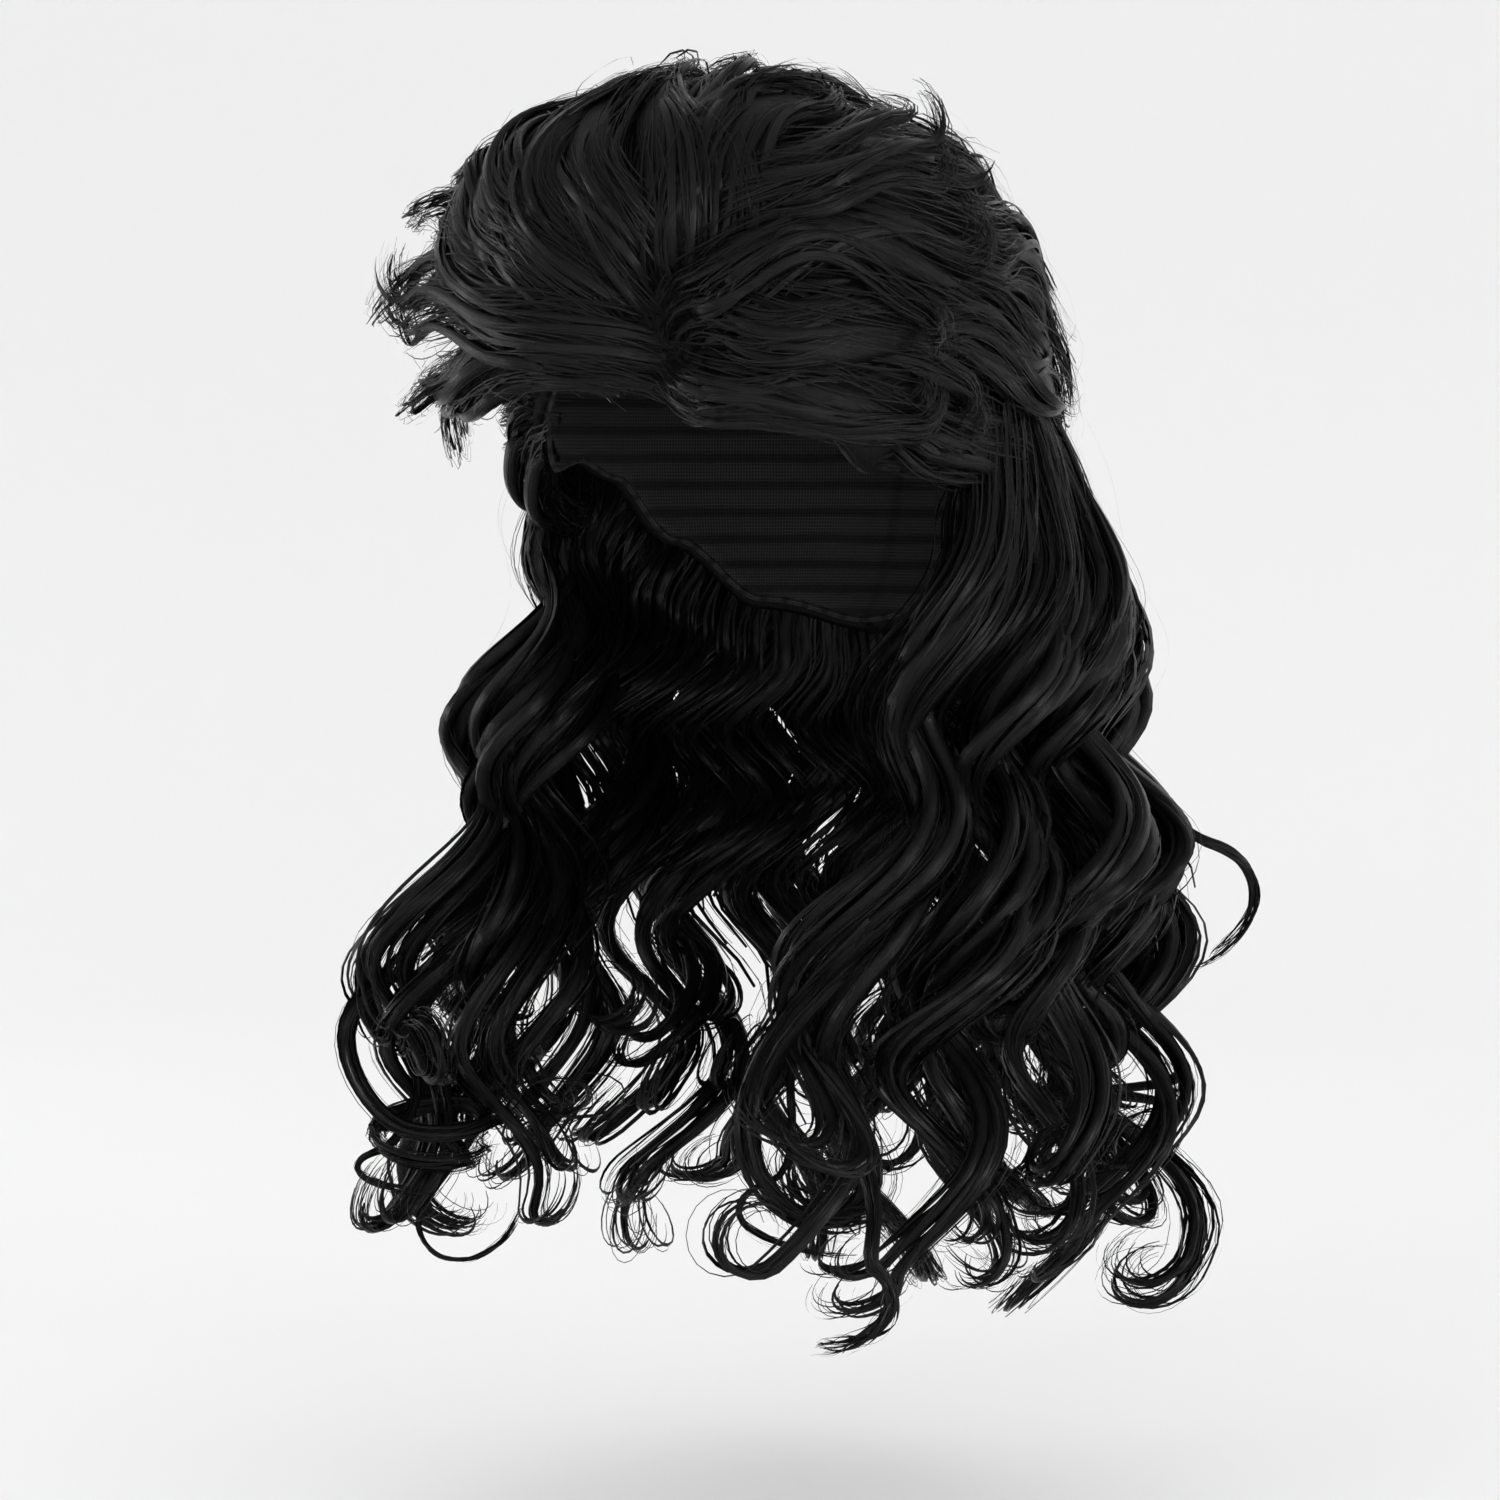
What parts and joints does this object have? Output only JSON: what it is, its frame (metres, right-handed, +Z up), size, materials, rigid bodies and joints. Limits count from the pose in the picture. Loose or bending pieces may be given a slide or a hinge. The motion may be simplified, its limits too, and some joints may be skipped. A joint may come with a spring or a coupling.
{
  "type": "mullet wig",
  "caption": "Long black curly mullet wig: a hollow net cap with a swept bouffant top, feathered sides and long loose ringlets over the nape, held up as on a head.",
  "frame": {"origin": "inside of the cap's crown, where the top of the wearer's head sits", "axes": "+Z up, the face opening looks along -Y, +X is the wearer's left"},
  "size_m": [0.2997, 0.2811, 0.4978],
  "materials": {
    "black_fibre": "glossy black synthetic hair fibre, in soft waves with a grey sheen",
    "under_fibre": "teased black synthetic hair fibre, in shade",
    "cap_net": "matt black knitted net with sewn wefts"
  },
  "bodies": {
    "root": {"cap": "cap_net", "under_hair": "under_fibre", "quiff_right": "black_fibre", "quiff_left": "black_fibre", "side_right": "black_fibre", "side_left": "black_fibre", "crown_layers": "black_fibre", "lock_left_1": "black_fibre", "lock_left_2": "black_fibre", "lock_left_3": "black_fibre", "lock_left_4": "black_fibre", "lock_back_1": "black_fibre", "lock_back_2": "black_fibre", "lock_back_3": "black_fibre", "lock_back_4": "black_fibre", "lock_back_5": "black_fibre", "lock_right_5": "black_fibre", "lock_right_4": "black_fibre", "lock_right_3": "black_fibre", "lock_right_2": "black_fibre", "lock_right_1": "black_fibre"}
  },
  "joints": []
}
